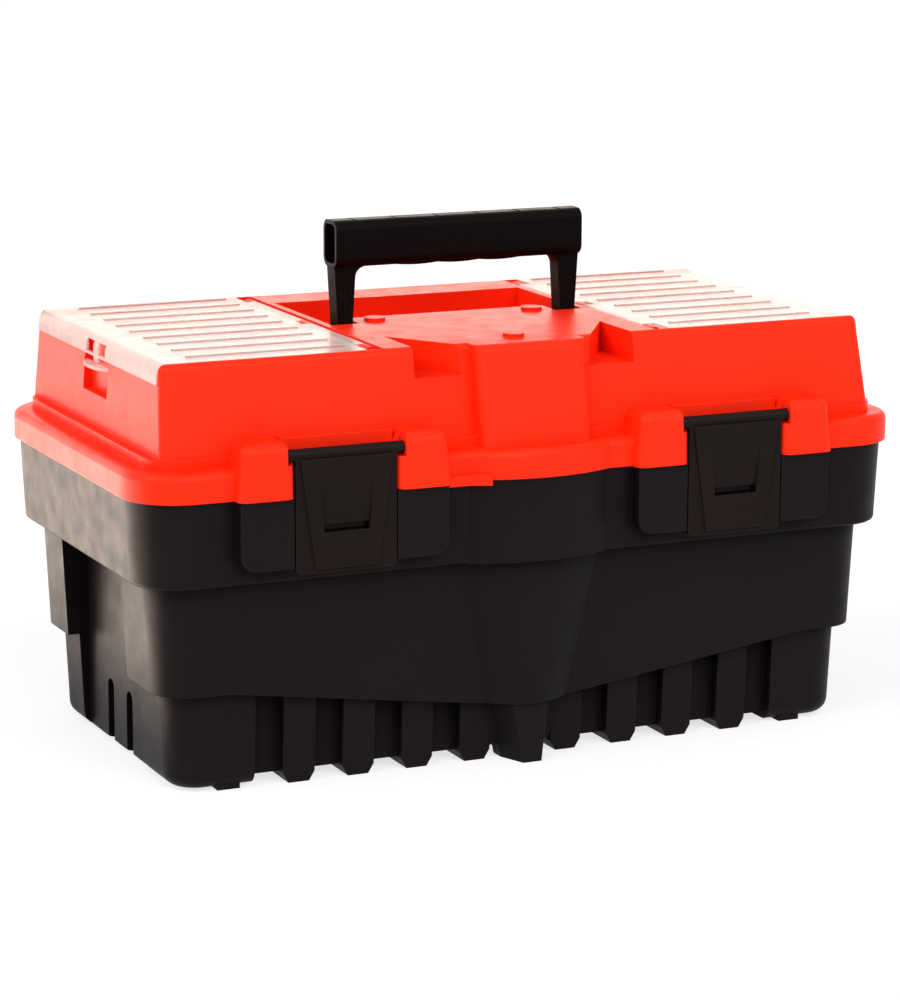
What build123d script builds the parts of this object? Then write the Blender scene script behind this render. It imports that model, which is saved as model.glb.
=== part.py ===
from build123d import *
import os
from math import radians, tan

os.makedirs("parts", exist_ok=True)

# Overall form, in mm. The floor is z = 0, the front faces -Y and the length runs along X.
length = 500.0  # over the lid's rim
depth = 262.0  # over the lid's rim, without the swelling in the middle of the front
rim_corner = 34.0  # corner radius of the rim in plan
corner_share = 0.5  # the tiers' corners lose this share of their inset
parting_height = 178.3  # top of the tub, where the lid comes down
lid_height = 255.3  # flat top of the lid
bow_half = 45.0  # half width of the swelling in the middle of the front
bow = 10.0  # how far it swells
sides = {"left": -1, "right": 1}

# Tub: three drafted tiers, each stepped in from the one above
tub_wall = 3.0
draft_angle = 2.7
flange_inset = 3.0  # the tub stands in from the lid's rim
band_foot = 127.3  # underside of the band, the widest tier
tier_step = 9.5  # ledge between the band and the middle tier
arch_end = 60.3  # lower edge of the middle tier at its ends
arch_shoulder = 190.0  # where that edge starts to fall, from the middle
arch_fall = 21.0  # how far it falls to the swelling
arch_sag = 3.0  # its further sag under the swelling
bow_foot_half = 27.0  # half width of the swelling at the foot of the middle tier
keel_half = 13.0  # half width of the swelling at the floor, at its root
keel_front_half = 6.0  # and across its flat front
keel_top_half = 15.0  # half width of that front at the foot of the middle tier
keel_bow = 18.0  # how far it stands out at the floor
foot_step = 6.0  # ledge between the middle and lower tiers
foot_end_step = 1.3  # the lower tier's ends stand in by this much more
foot_round = 9.0  # radius of the bottom edge
rail_height = 6.0  # skid rails under the floor
leg_height = 1.5  # underside of the corner legs
rail_taper = 3.5  # they narrow by this on each side
floor_thickness = 3.0
corner_foot = 14.0  # square feet under the corners
foot_margin = 8.5  # from the outermost flutes
foot_setback = 2.0  # behind the front face
tongue_height = 5.0  # lip on the tub that locates the lid
tongue_clearance = 0.8
edge_round = 2.5  # soft lower edge of the band

# Flutes between the ribs of the lower tier
flute_pitch = 38.0
flute_width = 18.0
flute_depth = 7.0
first_flute = 49.5  # middle of the innermost flute
flute_end = 80.0  # least distance from the outermost flute's middle to the end of the rim
flute_count = int((length / 2 - flute_end - first_flute) // flute_pitch) + 1  # on each side

# Finger grip in each end
grip_half = 55.0
grip_depth = 17.5  # from the end face of the middle tier
slot_width = 11.0
slot_depth = 6.0
slot_top = 40.3
slot_offset = 17.0
grip_shift = 4.0  # the grips sit behind the middle

# Front latches, and the hoods and pads that flank them
latch_centre = 127.0
latch_width = 62.6
latch_foot = 133.3
latch_thickness = 3.4
latch_setback = 3.5  # latch face behind the hood's face
latch_side_clearance = 1.0
latch_axis_height = 202.8
latch_barrel = 3.8  # radius
latch_ear = 5.1  # how far the barrel reaches into each hood block
latch_ear_clearance = 0.4
latch_pin_radius = 2.0
latch_pin_grip = 4.0  # length of pin in each hood block
latch_flange = 3.0  # width of the flanges along the latch's sides
latch_flange_reach = 1.4  # how far they reach back
latch_panel_top = 28.6  # half widths of the raised panel
latch_panel_foot = 19.5
latch_panel_rise = 1.2
latch_panel_margin = 2.5
latch_foot_round = 3.5
catch_width = 26.2
catch_height = 157.8
catch_drop = 8.0
catch_clearance = 0.5
latch_slot_height = 4.7
latch_slot_clearance = 1.2
latch_ramp_top = 193.3  # start of the hollow that runs down into the slot
latch_ramp_half = 17.4  # its half width there
latch_ramp_depth = 1.6
hood_block = 34.5  # width of one block
hood_reach = 9.0  # how far the blocks stand out from the rim
hood_top = 211.3
hood_side_lean = 3.0  # the blocks' outer sides lean in by this
hood_front_lean = 1.5
hood_back_inset = 9.0  # face behind the latch's barrel, from the rim
hood_round = 6.0
hood_slant = 5.5  # the blocks' inner top corners are cut back by this
hood_slant_height = 13.0
pad_foot = 137.3
pad_reach = 8.5  # how far the pads stand out from the band
pad_inset = 2.0  # their outer edges stand in from the blocks'
pad_round = 9.0

# Lid
lid_wall = 2.6
rim_gap = 0.4
rim_top = 196.3
rim_wall = 3.0
rim_round = 5.0
step_inset = 12.0
step_top = 202.3
step_corner = 20.0
wall_corner = 5.0
end_inset = 17.8  # foot of the end walls, from the rim
end_lean = 4.0  # how much further in their tops are
front_inset = 15.5
front_lean = 10.0
back_inset = 11.5
back_lean = 3.0
top_round = 4.0
column_half = 36.0
column_reach = 11.0  # how far the middle column stands out from the front wall
column_round = 5.0
thumb_tab_start = 62.0  # small lifting lip left of the swelling, from the middle
thumb_tab_end = 35.0
thumb_tab_drop = 2.6
thumb_tab_rise = 3.6
thumb_tab_reach = 2.5  # how far it stands out from the rim

# Notches beside the platform on top
notch_half = 72.0  # outer wall, from the middle
notch_back = 43.0  # length along the outer wall, from the front edge of the top
notch_floor = 237.3

# Round bosses on the platform
boss_radius = 6.5
boss_height = 2.0
boss_spread = 53.0
boss_row = 13.5  # row of two, in front of the platform's back edge
boss_front = 14.5  # single boss, behind the front edge of the top

# Carrying handle
handle_half = 82.5
handle_rise = 63.1  # top of the grip above the top of the lid
grip_tall = 28.4
grip_thick = 20.5
grip_wall = 2.4
grip_round = 6.0
leg_width = 14.0  # at the grip
leg_thick = 12.0
leg_taper = 2.0  # they narrow by this on each side down to the lid
leg_inset = 0.5  # the legs' outer faces stand in from the grip's ends
leg_line_count = 4  # fine upright grooves on the legs' fronts
leg_line_pitch = 2.4
leg_line_width = 0.9
leg_line_depth = 0.5
elbow_round = 7.0
scallop_pitch = 27.5
scallop_count = 3  # swellings under the grip
scallop_drop = 0.8
groove_count = 6  # across the top of the grip
groove_width = 1.2
groove_depth = 0.9
handle_axis_y = -5.0
handle_axis_drop = 14.0  # pivot below the top of the lid
handle_pin_radius = 3.5
handle_pin_grip = 4.0  # length of pin in the lid
handle_pin_reach = 8.0  # length of pin in the leg
handle_pin_end = 0.3  # spare depth of the leg's bore
handle_boss_radius = 8.0
pivot_boss_radius = 5.5  # fills the gap between the leg and the recess
pivot_side_gap = 0.4
recess_clearance = 2.0
finger_room = 9.0  # behind the folded grip
recess_strip = 4.5  # between the recess and the hinge grooves of the covers
leg_slot_clearance = 1.5
platform_reach = 13.5  # the platform ends this far behind the handle's pivot

# Clear covers of the organiser bins
cover_thickness = 2.7
cover_gap = 0.3
cover_barrel = 4.0
barrel_clearance = 0.4
cover_pin_radius = 1.5
cover_lug = 12.0
lug_gap = 0.4
cover_margin = 3.5  # lid left in front of and behind the cover
cover_end_wall = 6.0  # lid left in front of and behind the hinge groove
cover_corner_cut = 6.0  # the cover's inner corners stand clear of the hinge axis
skirt_height = 12.0
skirt_thickness = 1.6
skirt_clearance = 0.3
skirt_sink = 1.2  # the end wall is cut back to let the skirt in
cover_round = 7.0
cover_inner_round = 0.6
rib_count = 9
rib_pitch = 24.1
rib_width = 2.6
rib_height = 1.1
rib_front = 17.0  # first rib, behind the cover's front edge
rib_inner_margin = 8.0
rib_outer_margin = 23.0
tab_width = 8.0
tab_lip_width = 38.0
tab_drop = 6.0
tab_lip = 5.0
tab_lip_thickness = 2.0
tab_bar = 1.6  # left below the slots
tab_slot = 13.0
tab_slot_height = 9.0
tab_offset = 3.0
tab_recess_width = 43.0
tab_recess_foot = 221.3
tab_recess_depth = 3.0

# Organiser bins in the lid
bin_floor = 208.3
divider_thickness = 2.0
divider_clearance = 0.3
divider_height = 41.0
divider_rib = 1.8
divider_spread = 36.0  # of each divider from the middle of the bin

# Back hinges
hinge_place = 150.0
hinge_axis_rise = 2.0  # above the parting
hinge_axis_back = 6.8  # behind the rim
hinge_radius = 6.0
hinge_pin_radius = 2.5
knuckle_width = 20.0
hinge_lug = 8.0
hinge_side_gap = 0.4
hinge_lug_drop = 25.0
hinge_web = 5.0

# Lift-out tray
tray_clearance = 4.5
tray_rounder = 10.0  # its corners are this much rounder than the band's
tray_height = 38.0
tray_wall = 2.2
tray_cross_place = 115.0
tray_grip_half = 72.0
tray_grip_rise = 24.0
tray_grip_thick = 9.0
tray_grip_bar = 8.0
tray_grip_round = 9.0

# Running and seat clearances of round fits
pin_running = 0.05
pin_seat = 0.01

# Places worked out from the sizes above
draft_slope = tan(radians(draft_angle))
rim_foot = parting_height + rim_gap
rim_front = -depth / 2
rim_back = depth / 2
middle_inset = flange_inset + (parting_height - band_foot) * draft_slope + tier_step
lower_inset = middle_inset + (band_foot - arch_end) * draft_slope + foot_step
band_shape = (parting_height, flange_inset, 0.0)
middle_shape = (band_foot, middle_inset, 0.0)
lower_shape = (arch_end, lower_inset, foot_end_step)
ledge_height = band_foot + tub_wall
arch_spring = arch_end - arch_fall
arch_middle = arch_spring - arch_sag
floor_height = rail_height + floor_thickness
grip_floor = length / 2 - middle_inset - grip_depth
band_front = rim_front + flange_inset
hood_front = rim_front - hood_reach
latch_front = hood_front + latch_setback
latch_back = latch_front + latch_thickness
latch_axis_y = latch_back
window_half = latch_width / 2 + latch_side_clearance
hood_back = rim_front + hood_back_inset
hood_half = window_half + hood_block
ear_half = latch_width / 2 + latch_ear
ear_notch_half = ear_half + latch_ear_clearance
wall_foot_front = rim_front + front_inset
wall_foot_back = rim_back - back_inset
wall_foot_end = length / 2 - end_inset
wall_top_front = wall_foot_front + front_lean
wall_top_back = wall_foot_back - back_lean
wall_top_end = wall_foot_end - end_lean
handle_axis_z = lid_height - handle_axis_drop
handle_top = lid_height + handle_rise
grip_underside = handle_top - grip_tall
recess_half = handle_half + recess_clearance
recess_front = handle_axis_y - leg_thick / 2 - leg_slot_clearance
platform_back = handle_axis_y + platform_reach
recess_back = handle_axis_y + handle_top - handle_axis_z + finger_room
recess_floor = handle_axis_z - grip_thick / 2 - recess_clearance
leg_outer = handle_half - leg_inset
leg_inner = leg_outer - leg_width
leg_foot_outer = leg_outer - leg_taper
leg_foot_inner = leg_inner + leg_taper
leg_slot_inner = leg_inner - leg_slot_clearance
groove_radius = cover_barrel + barrel_clearance
cover_axis_x = recess_half + recess_strip + groove_radius
cover_axis_z = lid_height - cover_barrel
rebate_height = lid_height - cover_thickness - cover_gap
bin_start = cover_axis_x + groove_radius + lid_wall
skirt_lean = end_lean * skirt_height / (lid_height - step_top)
skirt_inner = wall_top_end + skirt_lean + skirt_clearance - skirt_sink
skirt_outer = skirt_inner + skirt_thickness
skirt_foot = lid_height - skirt_height
cover_front = wall_top_front + cover_margin
cover_back = wall_top_back - cover_margin
groove_front = wall_top_front + cover_end_wall
groove_back = wall_top_back - cover_end_wall
groove_middle = (groove_front + groove_back) / 2
lug_places = (groove_front + cover_lug, groove_middle, groove_back - cover_lug)
divider_places = (groove_middle - divider_spread, groove_middle + divider_spread)
above = 2 * lid_height
whole_depth = (-depth, depth)
hinge_axis_y = rim_back + hinge_axis_back
hinge_axis_z = parting_height + hinge_axis_rise


def tier_inset(shape, level):
    """Inset from the rim of a drafted tier's face at a level."""
    reference, inset, _ = shape
    return inset + (reference - level) * draft_slope


def tier_plan(shape, level, margin, rounder=0.0):
    """Plan of a drafted tier at a level, set in by a margin, its corners rounder if asked."""
    inset = tier_inset(shape, level)
    end = inset + shape[2] + margin
    with BuildSketch(Plane.XY.offset(level)) as plan:
        RectangleRounded(
            length - 2 * end,
            depth - 2 * (inset + margin),
            rim_corner - corner_share * inset - margin + rounder,
        )
    return plan.sketch


def tier(shape, low, high, margin=0.0):
    """Drafted tier of the tub between two levels, narrowing downwards."""
    extrude(tier_plan(shape, high, margin), amount=low - high, taper=draft_angle)


def swelling(shape, low, high, half_low, half_high, swell=bow, margin=0.0):
    """Bowed swelling in the middle of a tier's front, tapering with its half widths."""
    plans = []
    for level, half in ((low, half_low - margin), (high, half_high - margin)):
        face = rim_front + tier_inset(shape, level) + margin
        with BuildSketch(Plane.XY.offset(level)) as plan:
            with BuildLine():
                ThreePointArc((-half, face), (0, face - swell), (half, face))
                Polyline((half, face), (half, face + bow), (-half, face + bow), (-half, face))
            make_face()
        plans.append(plan.sketch)
    loft(plans)


def below_arch(rise):
    """Cut away everything below the falling lower edge of the middle tier."""
    end = arch_end + rise
    spring = arch_spring + rise
    with BuildSketch(Plane.XZ) as outline:
        with BuildLine():
            Polyline((-length, end), (-arch_shoulder, end), (-bow_half, spring))
            ThreePointArc((-bow_half, spring), (0, arch_middle + rise), (bow_half, spring))
            Polyline((bow_half, spring), (arch_shoulder, end), (length, end))
            Polyline((length, end), (length, -depth), (-length, -depth), (-length, end))
        make_face()
    extrude(outline.sketch, amount=depth, both=True, mode=Mode.SUBTRACT)


def flute_centres():
    """Middles of the flutes along the front and back of the lower tier."""
    places = [first_flute + flute_pitch * step for step in range(flute_count)]
    return [sign * place for place in places for sign in (-1, 1)]


def rail_centres():
    """Middles of the ribs between the flutes, with the keel in the middle."""
    places = [first_flute + flute_pitch * (step - 0.5) for step in range(flute_count)]
    return [0.0] + [sign * place for place in places for sign in (-1, 1)]


def keel(margin=0.0):
    """Flat-fronted foot of the swelling, narrowing and leaning out towards the floor."""
    plans = []
    top = (arch_end, bow_foot_half, keel_top_half, bow)
    for level, root, front, reach in ((0, keel_half, keel_front_half, keel_bow), top):
        face = rim_front + tier_inset(lower_shape, level) + margin
        with BuildSketch(Plane.XY.offset(level)) as plan:
            Polygon(
                (margin - root, face + bow),
                (margin - root, face),
                (margin - front, face - reach),
                (front - margin, face - reach),
                (root - margin, face),
                (root - margin, face + bow),
                align=None,
            )
        plans.append(plan.sketch)
    loft(plans)


def flutes(margin=0.0):
    """Cut the flutes of the lower tier, widened and deepened by a margin."""
    face = depth / 2 - tier_inset(lower_shape, rail_height)
    bottom = face - flute_depth - margin
    with BuildSketch(Plane.XY.offset(-arch_end)) as plan:
        for facing in (-1, 1):
            with Locations([(flute, facing * (bottom + depth / 4)) for flute in flute_centres()]):
                Rectangle(flute_width + 2 * margin, depth / 2)
    extrude(plan.sketch, amount=3 * arch_end, mode=Mode.SUBTRACT)


def end_grips(margin, top):
    """Finger grips in both ends with their two slots, grown by a margin."""
    floor = grip_floor - margin
    for sign in sides.values():
        with BuildSketch(Plane.XY.offset(-top)) as plan:
            with Locations((sign * (floor + length / 2), grip_shift)):
                Rectangle(length, 2 * (grip_half + margin))
        extrude(plan.sketch, amount=2 * top)
        for place in (grip_shift - slot_offset, grip_shift + slot_offset):
            with BuildSketch(Plane.YZ.offset(sign * floor)) as slot:
                with Locations((place, 0)):
                    SlotCenterToCenter(2 * slot_top - slot_width, slot_width + 2 * margin, rotation=90)
            extrude(slot.sketch, amount=-sign * slot_depth)


def lid_walls(low, high, margin=0.0):
    """Leaning walls of the lid between two levels, set in by a margin."""
    plans = []
    for level in (low, high):
        lean = (level - step_top) / (lid_height - step_top)
        end = wall_foot_end - end_lean * lean - margin
        front = wall_foot_front + front_lean * lean + margin
        back = wall_foot_back - back_lean * lean - margin
        with BuildSketch(Plane.XY.offset(level)) as plan:
            with Locations((0, (front + back) / 2)):
                RectangleRounded(2 * end, back - front, wall_corner - margin)
        plans.append(plan.sketch)
    loft(plans)


def column(low, high, margin=0.0):
    """Flat-fronted column in the middle of the lid's front, leaning with the wall."""
    plans = []
    for level in (low, high):
        lean = (level - step_top) / (lid_height - step_top)
        front = wall_foot_front + front_lean * lean - column_reach + margin
        with BuildSketch(Plane.XY.offset(level)) as plan:
            with Locations((0, front / 2)):
                Rectangle(2 * (column_half - margin), -front)
        plans.append(plan.sketch)
    loft(plans)


def rim_swelling(low, high, margin=0.0):
    """Swelling of the lid's rim in the middle of the front."""
    half = bow_half - margin
    face = rim_front + margin
    with BuildSketch(Plane.XY.offset(low)) as plan:
        with BuildLine():
            ThreePointArc((-half, face), (0, face - bow), (half, face))
            Polyline((half, face), (half, 0), (-half, 0), (-half, face))
        make_face()
    extrude(plan.sketch, amount=high - low)


def notches(low, margin=0.0):
    """Three-cornered notches beside the platform, open to the front."""
    front = rim_front - bow
    back = wall_top_front + notch_back + margin
    for sign in sides.values():
        with BuildSketch(Plane.XY.offset(low)) as plan:
            Polygon(
                (sign * (column_half - margin), front),
                (sign * (column_half - margin), wall_top_front - column_reach),
                (sign * (notch_half - margin), back),
                (sign * (notch_half + margin), back),
                (sign * (notch_half + margin), front),
                align=None,
            )
        extrude(plan.sketch, amount=lid_height)


def block(x_range, y_range, z_range, mode=Mode.ADD):
    """Rectangular block between two corners."""
    with BuildSketch(Plane.XY.offset(min(z_range))) as plan:
        with Locations((sum(x_range) / 2, sum(y_range) / 2)):
            Rectangle(abs(x_range[1] - x_range[0]), abs(y_range[1] - y_range[0]))
    extrude(plan.sketch, amount=abs(z_range[1] - z_range[0]), mode=mode)


def rod(plane, place, radius, start, end, mode=Mode.ADD):
    """Round bar, or bore, along a plane's normal between two distances from that plane."""
    with BuildSketch(plane.offset(start)) as section:
        with Locations(place):
            Circle(radius)
    extrude(section.sketch, amount=end - start, mode=mode)


# Outer form of the tub: fluted lower tier, arched middle tier and band
with BuildPart() as lower_form:
    tier(lower_shape, rail_height, arch_end)
    fillet(lower_form.edges().group_by(Axis.Z)[0], foot_round)
    flutes()
    keel()

# Ribs between the flutes, running down into tapered skid rails under the floor
with BuildPart() as rails:
    tier(lower_shape, 0, arch_end)
    rib_half = (flute_pitch - flute_width) / 2
    with BuildSketch(Plane.XZ):
        for centre in rail_centres():
            Polygon(
                (centre - rib_half, arch_end),
                (centre - rib_half, rail_height),
                (centre - rib_half + rail_taper, 0),
                (centre + rib_half - rail_taper, 0),
                (centre + rib_half, rail_height),
                (centre + rib_half, arch_end),
                align=None,
            )
    extrude(amount=depth, both=True, mode=Mode.INTERSECT)

# Solid legs under the ends, from the outermost flutes to the end faces
with BuildPart() as end_legs:
    leg_start = max(flute_centres()) + flute_width / 2
    tier(lower_shape, leg_height, arch_end)
    fillet(end_legs.edges().group_by(Axis.Z)[0], foot_round)
    block((-leg_start, leg_start), whole_depth, (-above, above), Mode.SUBTRACT)

with BuildPart() as middle_form:
    tier(middle_shape, arch_middle, band_foot)
    swelling(middle_shape, arch_middle, band_foot, bow_foot_half, bow_half)
    below_arch(0)

with BuildPart() as band_form:
    tier(band_shape, band_foot, parting_height)
    fillet(band_form.edges().group_by(Axis.Z)[0], edge_round)
    swelling(band_shape, band_foot, parting_height, bow_half, bow_half)

# Finger grips let into the ends under the band, and the wall that follows them inside
with BuildPart() as grips:
    end_grips(0, band_foot)

with BuildPart() as grip_walls:
    end_grips(tub_wall, ledge_height)

# Hollow of the tub, each tier set in by the wall
with BuildPart() as lower_hollow:
    tier(lower_shape, floor_height, arch_end + tub_wall, tub_wall)
    fillet(lower_hollow.edges().group_by(Axis.Z)[0], foot_round - floor_thickness)
    flutes(tub_wall)
    keel(tub_wall)
    block((-length, length), whole_depth, (-above, floor_height), Mode.SUBTRACT)

with BuildPart() as middle_hollow:
    tier(middle_shape, arch_middle, ledge_height, tub_wall)
    swelling(middle_shape, arch_middle, ledge_height, bow_foot_half, bow_half, bow, tub_wall)
    below_arch(tub_wall)

with BuildPart() as tub_hollow:
    lip_top = parting_height + tongue_height
    add(lower_hollow.part)
    add(middle_hollow.part)
    add(grip_walls.part, mode=Mode.SUBTRACT)
    tier(band_shape, ledge_height, lip_top, tub_wall)
    swelling(band_shape, ledge_height, lip_top, bow_half, bow_half, bow, tub_wall)

with BuildPart() as tub:
    add(lower_form.part)
    add(rails.part)
    add(end_legs.part)
    add(middle_form.part)
    add(grips.part, mode=Mode.SUBTRACT)
    add(band_form.part)
    # Feet under the corners
    foot_row = depth - 2 * (tier_inset(lower_shape, leg_height) + foot_setback) - corner_foot
    foot_spread = 2 * leg_start + corner_foot + 2 * foot_margin
    with BuildSketch():
        with GridLocations(foot_spread, foot_row, 2, 2):
            Rectangle(corner_foot, corner_foot)
    extrude(amount=rail_height)
    # Pads below the hood blocks, and the catch that each latch snaps over
    for sign in sides.values():
        for inner in (-1, 1):
            pad_width = hood_block - pad_inset
            middle = sign * latch_centre + inner * (window_half + pad_width / 2)
            with BuildSketch(Plane.XZ.offset(-band_front - tub_wall)):
                with Locations((middle, (pad_foot + parting_height) / 2)):
                    pad = Rectangle(pad_width, parting_height - pad_foot)
                lower_corners = pad.vertices().group_by(Axis.Y)[0].sort_by(Axis.X, reverse=inner < 0)
                fillet(lower_corners[-1], pad_round)
            extrude(amount=pad_reach + tub_wall)
        with BuildSketch(Plane.YZ.offset(sign * latch_centre - catch_width / 2)):
            Polygon(
                (band_front + tub_wall, catch_height + catch_drop),
                (latch_back + catch_clearance, catch_height + catch_drop / 2),
                (latch_back + catch_clearance, catch_height),
                (band_front + tub_wall, catch_height),
                align=None,
            )
        extrude(amount=catch_width)
    # Locating lip inside the lid's rim
    lip_inset = rim_wall + tongue_clearance
    with BuildSketch(Plane.XY.offset(parting_height - tub_wall)):
        RectangleRounded(length - 2 * lip_inset, depth - 2 * lip_inset, rim_corner - lip_inset)
    extrude(amount=tub_wall + tongue_height)
    add(tub_hollow.part, mode=Mode.SUBTRACT)
    # Hinge lugs on the back, two to each hinge
    lug_root = rim_back - flange_inset - tub_wall / 2
    lug_top = parting_height - rim_gap
    for sign in sides.values():
        for inner in (-1, 1):
            near = sign * hinge_place + inner * (knuckle_width / 2 + hinge_side_gap)
            with BuildSketch(Plane.YZ.offset(near)):
                Polygon(
                    (lug_root, lug_top - hinge_lug_drop),
                    (hinge_axis_y + hinge_radius, hinge_axis_z),
                    (hinge_axis_y, lug_top),
                    (lug_root, lug_top),
                    align=None,
                )
                with Locations((hinge_axis_y, hinge_axis_z)):
                    Circle(hinge_radius)
                    Circle(hinge_pin_radius + pin_seat, mode=Mode.SUBTRACT)
            extrude(amount=inner * hinge_lug)

# Outer form of the lid: rim with its swelling, step, leaning walls and column
with BuildPart() as rim_form:
    with BuildSketch(Plane.XY.offset(rim_foot)):
        RectangleRounded(length, depth, rim_corner)
    extrude(amount=rim_top - rim_foot)
    fillet(rim_form.edges().group_by(Axis.Z)[-1], rim_round)

with BuildPart() as rim_bow_form:
    rim_swelling(rim_foot, rim_top)
    fillet(rim_bow_form.edges().group_by(Axis.Z)[-1].filter_by(GeomType.CIRCLE), rim_round)

with BuildPart() as wall_form:
    lid_walls(rim_top - lid_wall, lid_height)
    fillet(wall_form.edges().group_by(Axis.Z)[-1], top_round)

with BuildPart() as column_form:
    column(rim_top - lid_wall, lid_height)
    column_face = column_form.faces().sort_by(Axis.Y)[0]
    fillet(column_face.edges().sort_by(Axis.Z)[1:], column_round)

# Leaning blocks on both sides of a latch, for a latch in the middle
with BuildPart() as hood_blocks:
    block_plans = []
    block_back = wall_foot_front + lid_wall
    block_ends = (
        (rim_foot, hood_half, hood_front),
        (hood_top, hood_half - hood_side_lean, hood_front + hood_front_lean),
    )
    for level, far, front in block_ends:
        with BuildSketch(Plane.XY.offset(level)) as block_plan:
            with Locations(((window_half + far) / 2, (front + block_back) / 2)):
                Rectangle(far - window_half, block_back - front)
        block_plans.append(block_plan.sketch)
    loft(block_plans)
    front_edges = hood_blocks.faces().sort_by(Axis.Y)[0].edges().sort_by(Axis.Z)[1:]
    outer_edge = hood_blocks.faces().sort_by(Axis.Z)[-1].edges().sort_by(Axis.X)[-1]
    fillet(front_edges + [outer_edge], hood_round)
    with BuildSketch(Plane.XZ) as slant:
        Polygon(
            (window_half, hood_top - hood_slant_height),
            (window_half + hood_slant, hood_top),
            (window_half, hood_top),
            align=None,
        )
    extrude(slant.sketch, amount=depth, both=True, mode=Mode.SUBTRACT)
    mirror(about=Plane.YZ)

with BuildPart() as hood_form:
    for sign in sides.values():
        centre = sign * latch_centre
        add(hood_blocks.part.moved(Location((centre, 0, 0))))
        block(
            (centre - window_half - lid_wall, centre + window_half + lid_wall),
            (hood_back, block_back),
            (rim_top - rim_round - lid_wall, hood_top),
        )

with BuildPart() as lid_form:
    add(rim_form.part)
    add(rim_bow_form.part)
    with BuildSketch(Plane.XY.offset(rim_foot)):
        RectangleRounded(length - 2 * step_inset, depth - 2 * step_inset, step_corner)
    extrude(amount=step_top - rim_foot)
    add(wall_form.part)
    add(column_form.part)
    add(hood_form.part)

# Hollow underside of the lid, without the bins, the recess and the notches
with BuildPart() as notch_walls:
    notches(notch_floor - lid_wall, lid_wall)

with BuildPart() as lid_hollow:
    with BuildSketch(Plane.XY.offset(rim_foot)):
        RectangleRounded(length - 2 * rim_wall, depth - 2 * rim_wall, rim_corner - rim_wall)
    extrude(amount=rim_top - lid_wall - rim_foot)
    rim_swelling(rim_foot, rim_top - lid_wall, rim_wall)
    step_hollow = step_inset + lid_wall
    with BuildSketch(Plane.XY.offset(rim_foot)):
        RectangleRounded(length - 2 * step_hollow, depth - 2 * step_hollow, step_corner - lid_wall)
    extrude(amount=step_top - lid_wall - rim_foot)
    lid_walls(step_top - 2 * lid_wall, lid_height - lid_wall, lid_wall)
    column(rim_foot, lid_height - lid_wall, lid_wall)
    for sign in sides.values():
        centre = sign * latch_centre
        behind = (hood_front + hood_front_lean + lid_wall, rim_front + step_inset)
        for inner in (-1, 1):
            near = centre + inner * (ear_notch_half + lid_wall)
            far = centre + inner * (hood_half - hood_side_lean - lid_wall)
            block((near, far), behind, (rim_foot, hood_top - lid_wall))
    for sign in sides.values():
        block(
            (sign * (bin_start - lid_wall), sign * length),
            whole_depth,
            (bin_floor - lid_wall, above),
            mode=Mode.SUBTRACT,
        )
        block(
            (sign * recess_half, sign * bin_start),
            whole_depth,
            (cover_axis_z - groove_radius - lid_wall, above),
            mode=Mode.SUBTRACT,
        )
        rod(
            Plane.YZ,
            (handle_axis_y, handle_axis_z),
            handle_boss_radius,
            sign * recess_half,
            sign * (recess_half + handle_pin_grip + lid_wall),
            mode=Mode.SUBTRACT,
        )
    block(
        (-recess_half - lid_wall, recess_half + lid_wall),
        (recess_front - lid_wall, recess_back + lid_wall),
        (recess_floor - lid_wall, above),
        mode=Mode.SUBTRACT,
    )
    block(
        (lid_wall - leg_slot_inner, leg_slot_inner - lid_wall),
        (recess_front - lid_wall, platform_back - lid_wall),
        (recess_floor - lid_wall, lid_height - lid_wall),
    )
    add(notch_walls.part, mode=Mode.SUBTRACT)

# Open bins at both ends of the lid
with BuildPart() as bins:
    lid_walls(bin_floor, lid_height, lid_wall)
    block((-bin_start, bin_start), whole_depth, (0, above), mode=Mode.SUBTRACT)

# Ribs that hold the dividers, and the wall behind each cover's snap tab
with BuildPart() as bin_fittings:
    rib_top = bin_floor + divider_height
    rib_offset = divider_thickness / 2 + divider_clearance + divider_rib / 2
    for sign in sides.values():
        inner_end = (sign * (bin_start - lid_wall), sign * (bin_start + divider_rib))
        outer_end = (sign * (wall_top_end - lid_wall - divider_rib), sign * length / 2)
        for place in divider_places:
            for edge in (place - rib_offset, place + rib_offset):
                span = (edge - divider_rib / 2, edge + divider_rib / 2)
                block(inner_end, span, (bin_floor - lid_wall, rib_top))
                block(outer_end, span, (bin_floor - lid_wall, rib_top))
        recess_wall_half = tab_recess_width / 2 + lid_wall
        block(
            (sign * (wall_top_end - tab_recess_depth - lid_wall), sign * length / 2),
            (tab_offset - recess_wall_half, tab_offset + recess_wall_half),
            (bin_floor - lid_wall, rebate_height),
        )
    add(wall_form.part, mode=Mode.INTERSECT)

with BuildPart() as lid_notches:
    notches(notch_floor)

# Lifting lip beside the swelling, hanging from the rim's face
with BuildPart() as rim_core:
    drop_levels = (rim_foot - thumb_tab_drop, rim_foot)
    rim_swelling(*drop_levels)
    block((-length / 2, length / 2), (rim_front, 0), drop_levels)

with BuildPart() as thumb_lip:
    lip_levels = (rim_foot - thumb_tab_drop, rim_foot + thumb_tab_rise)
    rim_swelling(*lip_levels, -thumb_tab_reach)
    block((-length / 2, length / 2), (rim_front - thumb_tab_reach, 0), lip_levels)
    lip_span = (-thumb_tab_start, -thumb_tab_end)
    block(lip_span, (-depth, rim_front + rim_wall / 2), lip_levels, Mode.INTERSECT)
    add(rim_core.part, mode=Mode.SUBTRACT)

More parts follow.
